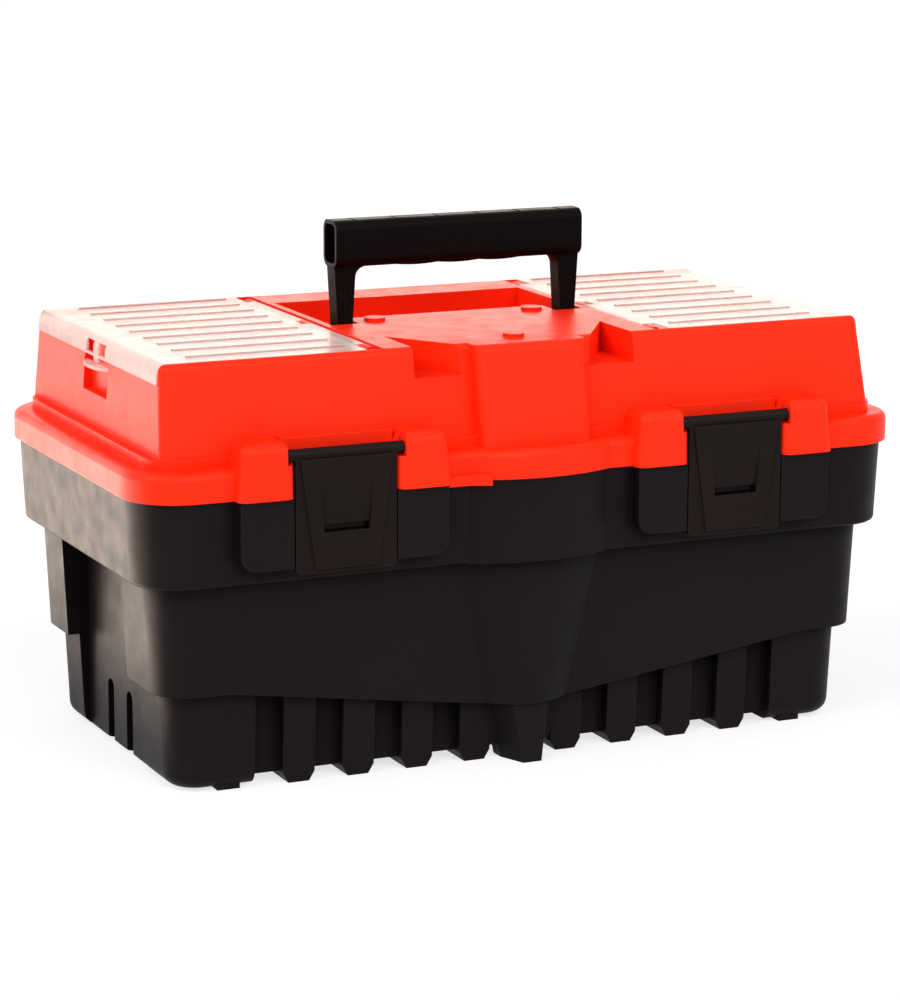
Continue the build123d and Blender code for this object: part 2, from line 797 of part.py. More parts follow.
with BuildPart() as lid_shell:
    add(lid_form.part)
    add(lid_hollow.part, mode=Mode.SUBTRACT)
    add(bins.part, mode=Mode.SUBTRACT)
    add(bin_fittings.part)
    add(lid_notches.part, mode=Mode.SUBTRACT)
    # Recess that takes the folded handle, with slots for its legs
    recess_levels = (recess_floor, above)
    block((-recess_half, recess_half), (platform_back, recess_back), recess_levels, Mode.SUBTRACT)
    for sign in sides.values():
        block(
            (sign * leg_slot_inner, sign * recess_half),
            (recess_front, platform_back),
            recess_levels,
            Mode.SUBTRACT,
        )
        rod(
            Plane.YZ,
            (handle_axis_y, handle_axis_z),
            pivot_boss_radius,
            sign * (leg_foot_outer + pivot_side_gap),
            sign * (recess_half + handle_pin_grip),
        )
        rod(
            Plane.YZ,
            (handle_axis_y, handle_axis_z),
            handle_pin_radius + pin_seat,
            0,
            sign * (recess_half + handle_pin_grip),
            Mode.SUBTRACT,
        )
        # Rebate under the cover, groove for its hinge, and recess behind its tab
        block(
            (sign * (cover_axis_x - groove_radius), sign * length),
            (cover_front - cover_gap, cover_back + cover_gap),
            (rebate_height, above),
            Mode.SUBTRACT,
        )
        block(
            (sign * (skirt_inner - skirt_clearance), sign * length),
            (cover_front - cover_gap, cover_back + cover_gap),
            (skirt_foot - cover_gap, above),
            Mode.SUBTRACT,
        )
        rod(
            Plane.XZ,
            (sign * cover_axis_x, cover_axis_z),
            groove_radius,
            -groove_back,
            -groove_front,
            Mode.SUBTRACT,
        )
        block(
            (sign * (wall_top_end - tab_recess_depth), sign * length / 2),
            (tab_offset - tab_recess_width / 2, tab_offset + tab_recess_width / 2),
            (tab_recess_foot, above),
            Mode.SUBTRACT,
        )
        # Lugs that carry the cover's hinge pin
        for place in lug_places:
            with BuildSketch(Plane.XZ.offset(-place - cover_lug / 2)):
                with Locations((sign * cover_axis_x, cover_axis_z)):
                    Circle(cover_barrel)
                with Locations((sign * cover_axis_x, cover_axis_z - groove_radius / 2)):
                    Rectangle(cover_barrel, groove_radius + lid_wall)
                with Locations((sign * cover_axis_x, cover_axis_z)):
                    Circle(cover_pin_radius + pin_seat, mode=Mode.SUBTRACT)
            extrude(amount=cover_lug)
        # Notches for the latch's ears and bores for its pin
        centre = sign * latch_centre
        for inner in (-1, 1):
            block(
                (centre + inner * latch_width / 2, centre + inner * ear_notch_half),
                (hood_front - latch_barrel, latch_axis_y + latch_barrel + latch_side_clearance),
                (latch_axis_height - latch_barrel - latch_side_clearance, above),
                Mode.SUBTRACT,
            )
        pin_half = ear_notch_half + latch_pin_grip
        rod(
            Plane.YZ,
            (latch_axis_y, latch_axis_height),
            latch_pin_radius + pin_seat,
            centre - pin_half,
            centre + pin_half,
            Mode.SUBTRACT,
        )
    # Round bosses on the platform
    with BuildSketch(Plane.XY.offset(lid_height)):
        with Locations(
            (-boss_spread, platform_back - boss_row),
            (boss_spread, platform_back - boss_row),
            (0, wall_top_front + boss_front),
        ):
            Circle(boss_radius)
    extrude(amount=boss_height)
    add(thumb_lip.part)
    # Hinge knuckles on the back
    for sign in sides.values():
        with BuildSketch(Plane.YZ.offset(sign * hinge_place - knuckle_width / 2)):
            Polygon(
                (rim_back - rim_wall / 2, hinge_axis_z - hinge_pin_radius + rim_gap),
                (rim_back - rim_wall / 2, hinge_axis_z + hinge_radius + hinge_web),
                (hinge_axis_y, hinge_axis_z + hinge_radius),
                (hinge_axis_y, hinge_axis_z - hinge_pin_radius + rim_gap),
                align=None,
            )
            with Locations((hinge_axis_y, hinge_axis_z)):
                Circle(hinge_radius)
                Circle(hinge_pin_radius + pin_running, mode=Mode.SUBTRACT)
        extrude(amount=knuckle_width)

# Carrying handle: its front outline crossed with its end outline
with BuildPart() as handle_ends:
    with BuildSketch(Plane.YZ.offset(-handle_half)):
        with Locations((handle_axis_y, handle_top - grip_tall / 2)):
            RectangleRounded(grip_thick, grip_tall, grip_round)
        with Locations((handle_axis_y, (handle_top - grip_round + handle_axis_z) / 2)):
            Rectangle(leg_thick, handle_top - grip_round - handle_axis_z)
        with Locations((handle_axis_y, handle_axis_z)):
            Circle(leg_thick / 2)
    extrude(amount=2 * handle_half)

with BuildPart() as handle:
    leg_foot = handle_axis_z - leg_thick / 2
    with BuildSketch(Plane.XZ.offset(-handle_axis_y - grip_thick / 2)):
        with Locations((0, handle_top - grip_tall / 2)):
            Rectangle(2 * handle_half, grip_tall)
        Polygon(
            (-leg_outer, grip_underside),
            (-leg_foot_outer, lid_height),
            (-leg_foot_outer, leg_foot),
            (leg_foot_outer, leg_foot),
            (leg_foot_outer, lid_height),
            (leg_outer, grip_underside),
            align=None,
        )
    extrude(amount=grip_thick)
    # Hand opening, with a shallow swelling of the grip between the fingers' places
    first_scallop = -scallop_pitch * scallop_count / 2
    opening_sides = [(leg_inner, grip_underside), (leg_foot_inner, lid_height), (leg_foot_inner, 0)]
    with BuildSketch(Plane.XZ.offset(-handle_axis_y - grip_thick / 2)) as opening:
        with BuildLine():
            left_side = [(-across, level) for across, level in opening_sides]
            Polyline((first_scallop, grip_underside), *left_side)
            Line((-leg_foot_inner, 0), (leg_foot_inner, 0))
            Polyline(*reversed(opening_sides), (-first_scallop, grip_underside))
            for finger in range(scallop_count):
                start = first_scallop + finger * scallop_pitch
                ThreePointArc(
                    (start, grip_underside),
                    (start + scallop_pitch / 2, grip_underside - scallop_drop),
                    (start + scallop_pitch, grip_underside),
                )
        make_face()
        upper_corners = opening.vertices().group_by(Axis.Y)[-1].sort_by(Axis.X)
        fillet([upper_corners[0], upper_corners[-1]], elbow_round)
    extrude(amount=grip_thick, mode=Mode.SUBTRACT)
    add(handle_ends.part, mode=Mode.INTERSECT)
    # Hollow grip, open at both ends
    with BuildSketch(Plane.YZ.offset(-handle_half)):
        with Locations((handle_axis_y, handle_top - grip_tall / 2)):
            RectangleRounded(
                grip_thick - 2 * grip_wall, grip_tall - 2 * grip_wall, grip_round - grip_wall
            )
    extrude(amount=2 * handle_half, mode=Mode.SUBTRACT)
    # Cross grooves over the top of the grip, and fine grooves down the legs' fronts
    for line in range(groove_count):
        place = (line - (groove_count - 1) / 2) * scallop_pitch
        block(
            (place - groove_width / 2, place + groove_width / 2),
            whole_depth,
            (handle_top - groove_depth, above),
            Mode.SUBTRACT,
        )
    leg_front = handle_axis_y - leg_thick / 2
    for sign in sides.values():
        leg_middle = sign * (leg_foot_outer + leg_foot_inner) / 2
        for line in range(leg_line_count):
            place = leg_middle + (line - (leg_line_count - 1) / 2) * leg_line_pitch
            block(
                (place - leg_line_width / 2, place + leg_line_width / 2),
                (leg_front - leg_thick, leg_front + leg_line_depth),
                (handle_axis_z, grip_underside - elbow_round),
                Mode.SUBTRACT,
            )
    # Bores for the pivot pins
    for sign in sides.values():
        rod(
            Plane.YZ,
            (handle_axis_y, handle_axis_z),
            handle_pin_radius + pin_running,
            sign * (leg_foot_outer - handle_pin_reach - handle_pin_end),
            sign * recess_half,
            Mode.SUBTRACT,
        )
handle.part.label = "handle"

# Lift-out tray that rests on the ledge inside the band
tray_top = ledge_height + tray_height
tray_margin = tub_wall + tray_clearance
with BuildPart() as tray:
    tray_plan = tier_plan(band_shape, tray_top, tray_margin, tray_rounder)
    extrude(tray_plan, amount=-tray_height, taper=draft_angle)
    tray_hollow = tier_plan(band_shape, tray_top, tray_margin + tray_wall, tray_rounder)
    extrude(tray_hollow, amount=tray_wall - tray_height, taper=draft_angle, mode=Mode.SUBTRACT)
    # Lengthwise wall that rises into the carrying grip, and two cross walls
    tray_half = length / 2 - tier_inset(band_shape, ledge_height) - tray_margin - tray_wall / 2
    tray_deep = depth / 2 - tier_inset(band_shape, ledge_height) - tray_margin - tray_wall / 2
    floor_levels = (ledge_height, tray_top)
    block((-tray_half, tray_half), (-tray_wall / 2, tray_wall / 2), floor_levels)
    for sign in sides.values():
        cross = sign * tray_cross_place
        block((cross - tray_wall / 2, cross + tray_wall / 2), (-tray_deep, tray_deep), floor_levels)
    grip_top = tray_top + tray_grip_rise
    with BuildSketch(Plane.XZ.offset(-tray_grip_thick / 2)) as tray_grip:
        with Locations((0, (ledge_height + grip_top) / 2)):
            outline = Rectangle(2 * tray_grip_half, grip_top - ledge_height)
        fillet(outline.vertices().group_by(Axis.Y)[-1], tray_grip_round)
        hand_slot = tray_grip_rise - tray_grip_bar + tray_grip_round
        with Locations((0, grip_top - tray_grip_bar - hand_slot / 2)):
            RectangleRounded(
                2 * (tray_grip_half - 2 * tray_grip_bar),
                hand_slot,
                tray_grip_round,
                mode=Mode.SUBTRACT,
            )
    extrude(amount=tray_grip_thick)
tray.part.label = "tray"

tub.part.label = "tub"
lid_shell.part.label = "lid_shell"
for piece in (tub, lid_shell, handle, tray):
    export_step(piece.part, f"parts/{piece.part.label}.step")

# Pieces that come in left and right pairs
for side, sign in sides.items():
    centre = sign * latch_centre

    # Hollow in the latch's panel that runs down into the catch slot
    slot_half = catch_width / 2 + latch_slot_clearance
    slot_foot = catch_height - latch_slot_clearance / 2
    slot_head = slot_foot + latch_slot_height
    panel_front = latch_front - latch_panel_rise
    with BuildPart() as ramp:
        with BuildSketch(Plane.YZ.offset(centre - latch_width / 2)):
            Polygon(
                (panel_front - latch_panel_rise, latch_ramp_top),
                (panel_front, latch_ramp_top),
                (panel_front + latch_ramp_depth, slot_head),
                (panel_front + latch_ramp_depth, slot_foot),
                (panel_front - latch_panel_rise, slot_foot),
                align=None,
            )
        extrude(amount=latch_width)
        with BuildSketch(Plane.XZ):
            Polygon(
                (centre - latch_ramp_half, latch_ramp_top),
                (centre + latch_ramp_half, latch_ramp_top),
                (centre + slot_half, slot_foot),
                (centre - slot_half, slot_foot),
                align=None,
            )
        extrude(amount=depth, mode=Mode.INTERSECT)

    # Latch: barrel at the top, plate with side flanges, raised panel and catch slot
    with BuildPart() as latch:
        plate_half = latch_width / 2
        with BuildSketch(Plane.XZ.offset(-latch_back)):
            with Locations((centre, (latch_axis_height + latch_foot) / 2)):
                plate = Rectangle(latch_width, latch_axis_height - latch_foot)
            fillet(plate.vertices().group_by(Axis.Y)[0], latch_foot_round)
        extrude(amount=latch_thickness)
        panel_top = latch_axis_height - latch_panel_margin
        panel_foot = latch_foot + latch_panel_margin
        with BuildSketch(Plane.XZ.offset(-latch_front)):
            Polygon(
                (centre - latch_panel_top, panel_top),
                (centre + latch_panel_top, panel_top),
                (centre + latch_panel_foot, panel_foot),
                (centre - latch_panel_foot, panel_foot),
                align=None,
            )
        extrude(amount=latch_panel_rise)
        for inner in (-1, 1):
            edge = centre + inner * plate_half
            block(
                (edge, edge - inner * latch_flange),
                (latch_back, latch_back + latch_flange_reach),
                (latch_foot + latch_foot_round, latch_axis_height),
            )
        axis_place = (latch_axis_y, latch_axis_height)
        rod(Plane.YZ, axis_place, latch_barrel, centre - ear_half, centre + ear_half)
        rod(
            Plane.YZ,
            axis_place,
            latch_pin_radius + pin_running,
            centre - ear_half,
            centre + ear_half,
            Mode.SUBTRACT,
        )
        add(ramp.part, mode=Mode.SUBTRACT)
        block(
            (centre - slot_half, centre + slot_half),
            (hood_front - latch_barrel, latch_back + latch_flange_reach),
            (slot_foot, slot_head),
            Mode.SUBTRACT,
        )
    latch.part.label = f"latch_{side}"

    with BuildPart() as latch_pin:
        rod(Plane.YZ, axis_place, latch_pin_radius, centre - pin_half, centre + pin_half)
    latch_pin.part.label = f"latch_pin_{side}"

    # Clear cover: plate with ribs, hinge barrels, end skirt and snap tab
    with BuildPart() as cover:
        plate_foot = lid_height - cover_thickness
        corner_start = cover_axis_x + cover_corner_cut
        with BuildSketch(Plane.XZ.offset(-cover_back)) as profile:
            Polygon(
                (sign * corner_start, lid_height),
                (sign * skirt_outer, lid_height),
                (sign * skirt_outer, skirt_foot),
                (sign * skirt_inner, skirt_foot),
                (sign * skirt_inner, plate_foot),
                (sign * corner_start, plate_foot),
                align=None,
            )
            outward = {"sort_by": Axis.X, "reverse": sign < 0}
            top_corners = profile.vertices().group_by(Axis.Y)[-1].sort_by(**outward)
            fillet(top_corners[-1], cover_round)
            inner_corners = profile.vertices().group_by(Axis.Y)[-2].sort_by(**outward)
            fillet(inner_corners[-1], cover_inner_round)
        extrude(amount=cover_back - cover_front)
        # Barrels between the lugs, joined to the plate
        for near, far in ((lug_places[0], lug_places[1]), (lug_places[1], lug_places[2])):
            barrel_front = near + cover_lug / 2 + lug_gap
            barrel_back = far - cover_lug / 2 - lug_gap
            rod(
                Plane.XZ,
                (sign * cover_axis_x, cover_axis_z),
                cover_barrel,
                -barrel_back,
                -barrel_front,
            )
            block(
                (sign * cover_axis_x, sign * corner_start),
                (barrel_front, barrel_back),
                (plate_foot, lid_height),
            )
            rod(
                Plane.XZ,
                (sign * cover_axis_x, cover_axis_z),
                cover_pin_radius + pin_running,
                -barrel_back,
                -barrel_front,
                Mode.SUBTRACT,
            )
        # Ribs along the plate
        for line in range(rib_count):
            place = cover_front + rib_front + line * rib_pitch
            block(
                (sign * (corner_start + rib_inner_margin), sign * (skirt_inner - rib_outer_margin)),
                (place - rib_width / 2, place + rib_width / 2),
                (lid_height, lid_height + rib_height),
            )
        # Snap tab between two slots, with its thumb lip
        for inner in (-1, 1):
            slot_near = tab_offset + inner * tab_width / 2
            block(
                (sign * wall_top_end, sign * length / 2),
                (slot_near, slot_near + inner * tab_slot),
                (skirt_foot + tab_bar, skirt_foot + tab_bar + tab_slot_height),
                Mode.SUBTRACT,
            )
        tab_foot = skirt_foot - tab_drop
        block(
            (sign * skirt_inner, sign * skirt_outer),
            (tab_offset - tab_width / 2, tab_offset + tab_width / 2),
            (tab_foot, skirt_foot),
        )
        with BuildSketch(Plane.XY.offset(tab_foot)):
            with Locations((sign * skirt_inner, tab_offset)):
                Ellipse(skirt_thickness + tab_lip, tab_lip_width / 2)
            with Locations((sign * (skirt_inner - length / 2), tab_offset)):
                Rectangle(length, tab_lip_width, mode=Mode.SUBTRACT)
        extrude(amount=tab_lip_thickness)
    cover.part.label = f"cover_{side}"

    with BuildPart() as cover_pin:
        rod(
            Plane.XZ,
            (sign * cover_axis_x, cover_axis_z),
            cover_pin_radius,
            -lug_places[2] - cover_lug / 2,
            -lug_places[0] + cover_lug / 2,
        )
    cover_pin.part.label = f"cover_pin_{side}"

    with BuildPart() as handle_pin:
        rod(
            Plane.YZ,
            (handle_axis_y, handle_axis_z),
            handle_pin_radius,
            sign * (leg_foot_outer - handle_pin_reach),
            sign * (recess_half + handle_pin_grip),
        )
    handle_pin.part.label = f"handle_pin_{side}"

    with BuildPart() as hinge_pin:
        hinge_half = knuckle_width / 2 + hinge_side_gap + hinge_lug
        rod(
            Plane.YZ,
            (hinge_axis_y, hinge_axis_z),
            hinge_pin_radius,
            sign * hinge_place - hinge_half,
            sign * hinge_place + hinge_half,
        )
    hinge_pin.part.label = f"hinge_pin_{side}"

    for piece in (latch, latch_pin, cover, cover_pin, handle_pin, hinge_pin):
        export_step(piece.part, f"parts/{piece.part.label}.step")

    # Dividers that drop between the ribs of the bin
    for row, place in zip(("front", "back"), divider_places):
        with BuildPart() as divider:
            lid_walls(bin_floor, bin_floor + divider_height, lid_wall + divider_clearance)
            kept = (sign * (bin_start + divider_clearance), sign * length)
            with BuildSketch(Plane.XY):
                with Locations((sum(kept) / 2, place)):
                    Rectangle(abs(kept[1] - kept[0]), divider_thickness)
            extrude(amount=above, mode=Mode.INTERSECT)
        divider.part.label = f"divider_{side}_{row}"
        export_step(divider.part, f"parts/{divider.part.label}.step")
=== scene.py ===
"""Finishes, studio and camera for the tool box, laid out as an add-on."""

from math import pi

import bpy
from bpy.props import FloatProperty, FloatVectorProperty, PointerProperty
from bpy.types import Operator, Panel, PropertyGroup
from mathutils import Matrix, Vector


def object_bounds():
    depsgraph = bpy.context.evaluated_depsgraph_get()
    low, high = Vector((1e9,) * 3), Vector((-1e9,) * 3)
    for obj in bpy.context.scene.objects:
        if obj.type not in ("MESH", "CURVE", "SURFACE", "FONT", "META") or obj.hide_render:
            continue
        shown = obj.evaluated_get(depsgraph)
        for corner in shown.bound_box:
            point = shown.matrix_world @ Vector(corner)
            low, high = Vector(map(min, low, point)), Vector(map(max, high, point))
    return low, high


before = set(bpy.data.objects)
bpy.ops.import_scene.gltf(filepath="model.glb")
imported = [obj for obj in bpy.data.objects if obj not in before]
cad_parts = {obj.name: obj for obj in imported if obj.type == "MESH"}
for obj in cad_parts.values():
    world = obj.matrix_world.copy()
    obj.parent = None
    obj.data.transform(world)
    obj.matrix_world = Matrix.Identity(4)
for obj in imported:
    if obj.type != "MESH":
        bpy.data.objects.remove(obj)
cad_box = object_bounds()

bl_info = {
    "name": "Tool box",
    "version": (1, 0, 0),
    "blender": (4, 5, 0),
    "location": "3D View > Sidebar > Tool box",
    "description": "Moulded plastic finishes, studio light and camera for a hinged tool box",
    "category": "Object",
}

FLOOR_LEVEL = cad_box[0][2]
SMOOTH_ANGLE = 0.5

# Noise scales of the plastics, in features to the metre
MOTTLE_SCALE = 14.0
CLOUD_SCALE = 18.0
FLOW_SCALE = 45.0
CLEAR_FLOW_SCALE = 60.0
SMEAR_SCALE = 70.0
WEAR_AND_HIGHLIGHT_SCALE = 160.0
GRAIN_SCALE = 1900.0

# Drawn marks round the steel pins, their depth in metres, and stains
DRAWN_SCALE = (2600.0, 60.0, 60.0)
DRAWN_DEPTH = 0.00002
STAIN_SCALE = 120.0

# Reach of the shade in corners and beside the covers' ribs, in metres
CORNER_REACH = 0.010
RIB_REACH = 0.0022

# Directions of the lamps, and place, aim and size of the screens that show in the gloss
KEY_TOWARDS = (0.75, 0.15, -0.65)
FILL_TOWARDS = (-0.10, 0.80, -0.58)
END_SCREEN = ((-0.95, 1.15, 0.45), (-0.25, 0.0, 0.2), (1.4, 0.8))
FLOOR_SCREEN = ((-0.75, 0.55, 0.01), (-0.75, 0.55, 1.0), (0.9, 1.2))
TOP_SCREEN = ((1.05, 2.40, 0.85), (0.0, 0.0, 0.25), (2.4, 0.8))

# Floor: the shade that lights the object, and its whole white where nothing shades it
WHITE = (1.0, 1.0, 1.0)
FLOOR_SHADE = 0.86
FLOOR_WHOLE = 1.06

PIN_NODES = [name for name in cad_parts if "pin" in name]
LATCH_NODES = ["latch_left", "latch_right"]
COVER_NODES = ["cover_left", "cover_right"]
DIVIDER_NODES = [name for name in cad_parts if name.startswith("divider")]


def colour(name, description, default):
    """Colour property with three channels."""
    return FloatVectorProperty(
        name=name, description=description, subtype="COLOR", size=3, min=0.0, max=1.0, default=default
    )


def share(name, description, default):
    """Property between nought and one."""
    return FloatProperty(
        name=name, description=description, subtype="FACTOR", min=0.0, max=1.0, default=default
    )


def distance(name, description, default):
    """Length property in metres."""
    return FloatProperty(
        name=name, description=description, unit="LENGTH", precision=5, default=default
    )


class ToolBoxFinishes(PropertyGroup):
    """Colours and surface values of the moulded parts."""

    tub_colour: colour("Tub", "Near-black plastic of the tub", (0.0080, 0.0058, 0.0066))
    lid_colour: colour("Lid", "Orange-red plastic of the lid", (0.95, 0.023, 0.0035))
    handle_colour: colour("Handle", "Black plastic of the carrying handle", (0.0030, 0.0012, 0.0014))
    latch_colour: colour("Latches", "Brown-black plastic of the latches", (0.0100, 0.0056, 0.0054))
    cover_colour: colour("Covers", "Milky clear plastic of the covers", (0.92, 0.75, 0.70))
    crease_colour: colour("Creases", "Shade beside the ribs of the covers", (0.50, 0.24, 0.19))
    tray_colour: colour("Tray", "Dark plastic of the lift-out tray", (0.011, 0.010, 0.010))
    steel_colour: colour("Steel", "Bright steel of the pins", (0.56, 0.57, 0.59))
    black_roughness: share("Black roughness", "Roughness of the black plastic", 0.46)
    black_gloss: share("Black gloss", "Strength of the black plastic's reflections", 0.07)
    handle_gloss: share("Handle gloss", "Part of the black gloss that the handle keeps", 0.6)
    lid_roughness: share("Lid roughness", "Roughness of the lid's plastic", 0.42)
    lid_gloss: share("Lid gloss", "Strength of the lid's reflections", 0.11)
    cover_roughness: share("Cover roughness", "Roughness of the clear plastic", 0.26)
    cover_gloss: share("Cover gloss", "Strength of the clear plastic's reflections", 0.20)
    cover_clarity: share("Cover clarity", "How much of the bins shows through each face", 0.50)
    edge_radius: distance("Edge radius", "Softness of the moulded edges", 0.0008)
    grain_depth: distance("Grain depth", "Depth of the mould's fine grain", 0.00006)
    # Painted shade: the reach over which reflections are dimmed in hollows.
    hollow_shade_reach: distance("Hollow reach", "Distance over which a hollow dulls the plastic", 0.040)


class ToolBoxStudio(PropertyGroup):
    """Floor, light and camera."""

    floor_half: distance("Floor", "Half width of the floor", 30.0)
    floor_white: share("Floor white", "Part of the floor's white that is free of shadow", 0.72)
    sky_level: FloatProperty(
        name="Sky", description="Strength of the soft light all round", default=0.52
    )
    key_level: FloatProperty(
        name="Key light", description="Strength of the light from the left", default=1.5
    )
    fill_level: FloatProperty(
        name="Fill light", description="Strength of the light from the front", default=1.5
    )
    glow_colour: colour("Glow colour", "Warm white of the screens", (1.0, 0.82, 0.68))
    end_glow: FloatProperty(
        name="End glow", description="Power of the screen behind the left end", unit="POWER", default=13.0
    )
    floor_glow: FloatProperty(
        name="Floor glow", description="Power of the panel on the floor there", unit="POWER", default=30.0
    )
    top_glow: FloatProperty(
        name="Top glow", description="Power of the screen far behind the lid", unit="POWER", default=24.0
    )
    lamp_angle: FloatProperty(
        name="Softness", description="Apparent width of both lamps", subtype="ANGLE", default=0.7
    )
    camera_place: FloatVectorProperty(
        name="Camera",
        description="Place of the camera",
        subtype="TRANSLATION",
        unit="LENGTH",
        size=3,
        default=(-0.89747, -1.97830, 0.60199),
    )
    camera_yaw: FloatProperty(
        name="Yaw", description="Camera's turn to the right", subtype="ANGLE", default=0.425954
    )
    camera_pitch: FloatProperty(
        name="Pitch", description="Camera's tilt downwards", subtype="ANGLE", default=0.210673062
    )
    camera_roll: FloatProperty(
        name="Roll", description="Camera's roll", subtype="ANGLE", default=-0.003388101
    )
    camera_lens: FloatProperty(
        name="Lens", description="Focal length", unit="CAMERA", default=127.904
    )


class Graph:
    """Small wrapper that adds and joins shader nodes in one material or world."""

    def __init__(self, tree):
        self.tree = tree
        tree.nodes.clear()

    def node(self, kind, inputs=None, **settings):
        """New node with settings, and with inputs given as values or as sockets."""
        made = self.tree.nodes.new("ShaderNode" + kind)
        for key, value in settings.items():
            setattr(made, key, value)
        for key, value in (inputs or {}).items():
            self.feed(made.inputs[key], value)
        return made

    def feed(self, socket, value):
        """Join a socket to another one, or set its value."""
        if isinstance(value, bpy.types.NodeSocket):
            self.tree.links.new(value, socket)
        else:
            socket.default_value = value

    def math(self, operation, *values):
        """Result of a Math node."""
        made = self.node("Math", operation=operation)
        for socket, value in zip(made.inputs, values):
            self.feed(socket, value)
        return made.outputs[0]

    def spread(self, value, low, high, to_low, to_high):
        """Value mapped from one range to another and kept inside it."""
        made = self.node("MapRange", {0: value, 1: low, 2: high, 3: to_low, 4: to_high})
        return made.outputs[0]

    def blend(self, amount, first, second, mode="MIX"):
        """Two colours blended by an amount."""
        made = self.node("Mix", data_type="RGBA", blend_type=mode)
        self.feed(made.inputs[0], amount)
        self.feed(made.inputs[6], first)
        self.feed(made.inputs[7], second)
        return made.outputs[2]

    def noise(self, coordinates, scale, detail=3.0, roughness=0.5):
        """Noise value over the object's own coordinates."""
        made = self.node(
            "TexNoise", {"Vector": coordinates, "Scale": scale, "Detail": detail, "Roughness": roughness}
        )
        return made.outputs[0]


def tinted(shade, factor):
    """Colour with an alpha channel, made lighter or darker by a factor."""
    return tuple(min(1.0, channel * factor) for channel in shade) + (1.0,)


def new_graph(name):
    """Empty material and the graph that fills it."""
    material = bpy.data.materials.new(name)
    material.use_nodes = True
    return material, Graph(material.node_tree)


def soft_edges(graph, radius):
    """Rounded normal for moulded edges, and a mask that is one along them."""
    bevel = graph.node("Bevel", {"Radius": radius}, samples=6)
    geometry = graph.node("NewGeometry")
    facing = graph.node("VectorMath", operation="DOT_PRODUCT")
    graph.feed(facing.inputs[0], bevel.outputs[0])
    graph.feed(facing.inputs[1], geometry.outputs["Normal"])
    mask = graph.spread(facing.outputs["Value"], 0.98, 0.80, 0.0, 1.0)
    return bevel.outputs[0], mask


def moulded_plastic(name, shade, roughness, gloss, finishes, wear_and_highlight_tone=2.0, wear_and_highlight_amount=0.35, grain=1.0, dark=0.5):
    """Satin moulded plastic: mottled colour, mould grain, flow marks, soft pale edges that are part wear
    and part painted highlight, painted shade in corners, and reflections dimmed in hollows as painted
    shade.
    """
    material, graph = new_graph(name)
    place = graph.node("TexCoord").outputs["Object"]
    rounded, edge = soft_edges(graph, finishes.edge_radius)
    mottle = graph.noise(place, MOTTLE_SCALE, 4.0, 0.55)
    smear = graph.noise(place, SMEAR_SCALE, 2.0)
    base = graph.blend(graph.spread(mottle, 0.3, 0.7, 0.0, 1.0), tinted(shade, 0.94), tinted(shade, 1.05))
    # Painted shade: within CORNER_REACH the colour darkens towards 0.45 of itself in corners and recesses,
    # by the amount given as dark.
    corner = graph.node("AmbientOcclusion", {"Distance": CORNER_REACH}, samples=6, only_local=True)
    base = graph.blend(
        graph.spread(corner.outputs["AO"], 0.35, 0.95, dark, 0.0), base, tinted(shade, 0.45)
    )
    # Edges lighten in patches: part wear, part painted highlight standing in for the light caught on the
    # rounded edges.
    patchy = graph.spread(graph.noise(place, WEAR_AND_HIGHLIGHT_SCALE, 3.0), 0.35, 0.65, 0.2, wear_and_highlight_amount)
    wear_and_highlight = graph.math("MULTIPLY", edge, patchy)
    base = graph.blend(wear_and_highlight, base, tinted([channel + 0.02 for channel in shade], wear_and_highlight_tone))
    # Painted shade: inside hollows within the hollow reach, the reflections are dimmed down to a tenth of
    # the gloss.
    hollow = graph.node("AmbientOcclusion", {"Distance": finishes.hollow_shade_reach}, samples=6, only_local=True)
    shine = graph.spread(hollow.outputs["AO"], 0.45, 0.95, 0.1 * gloss, gloss)
    rough = graph.spread(smear, 0.25, 0.75, roughness - 0.05, roughness + 0.06)
    fine = graph.noise(place, GRAIN_SCALE, 2.0, 0.6)
    flow = graph.noise(place, FLOW_SCALE, 2.0)
    height = graph.math("ADD", graph.math("MULTIPLY", flow, 0.6), graph.math("MULTIPLY", fine, grain))
    bump = graph.node(
        "Bump", {"Strength": 0.35, "Distance": finishes.grain_depth, "Height": height, "Normal": rounded}
    )
    shader = graph.node(
        "BsdfPrincipled",
        {
            "Base Color": base,
            "Roughness": rough,
            "Specular IOR Level": shine,
            "Normal": bump.outputs[0],
        },
    )
    graph.node("OutputMaterial", {"Surface": shader.outputs[0]})
    return material


def black_plastic(name, shade, finishes, kept=1.0):
    """Moulded plastic with the shared surface of the black parts, keeping a part of their gloss."""
    return moulded_plastic(name, shade, finishes.black_roughness, kept * finishes.black_gloss, finishes)


def clear_plastic(name, finishes):
    """Milky clear plastic, shaded where a rib meets the plate, with faint clouds and flow marks."""
    material, graph = new_graph(name)
    place = graph.node("TexCoord").outputs["Object"]
    shade = finishes.cover_colour
    roughness = finishes.cover_roughness
    cloud = graph.noise(place, CLOUD_SCALE, 3.0)
    base = graph.blend(graph.spread(cloud, 0.3, 0.7, 0.0, 1.0), tinted(shade, 0.97), tinted(shade, 1.03))
    crease = graph.node("AmbientOcclusion", {"Distance": RIB_REACH}, samples=8, only_local=True)
    base = graph.blend(
        graph.spread(crease.outputs["AO"], 0.55, 0.95, 0.85, 0.0), base, tinted(finishes.crease_colour, 1.0)
    )
    flow = graph.noise(place, CLEAR_FLOW_SCALE, 2.0)
    rough = graph.spread(flow, 0.3, 0.7, roughness - 0.05, roughness + 0.08)
    bump = graph.node("Bump", {"Strength": 0.2, "Distance": finishes.grain_depth, "Height": flow})
    shader = graph.node(
        "BsdfPrincipled",
        {
            "Base Color": base,
            "Roughness": rough,
            "Normal": bump.outputs[0],
            "IOR": 1.49,
            "Specular IOR Level": finishes.cover_gloss,
            "Alpha": 1.0 - finishes.cover_clarity,
        },
    )
    graph.node("OutputMaterial", {"Surface": shader.outputs[0]})
    return material


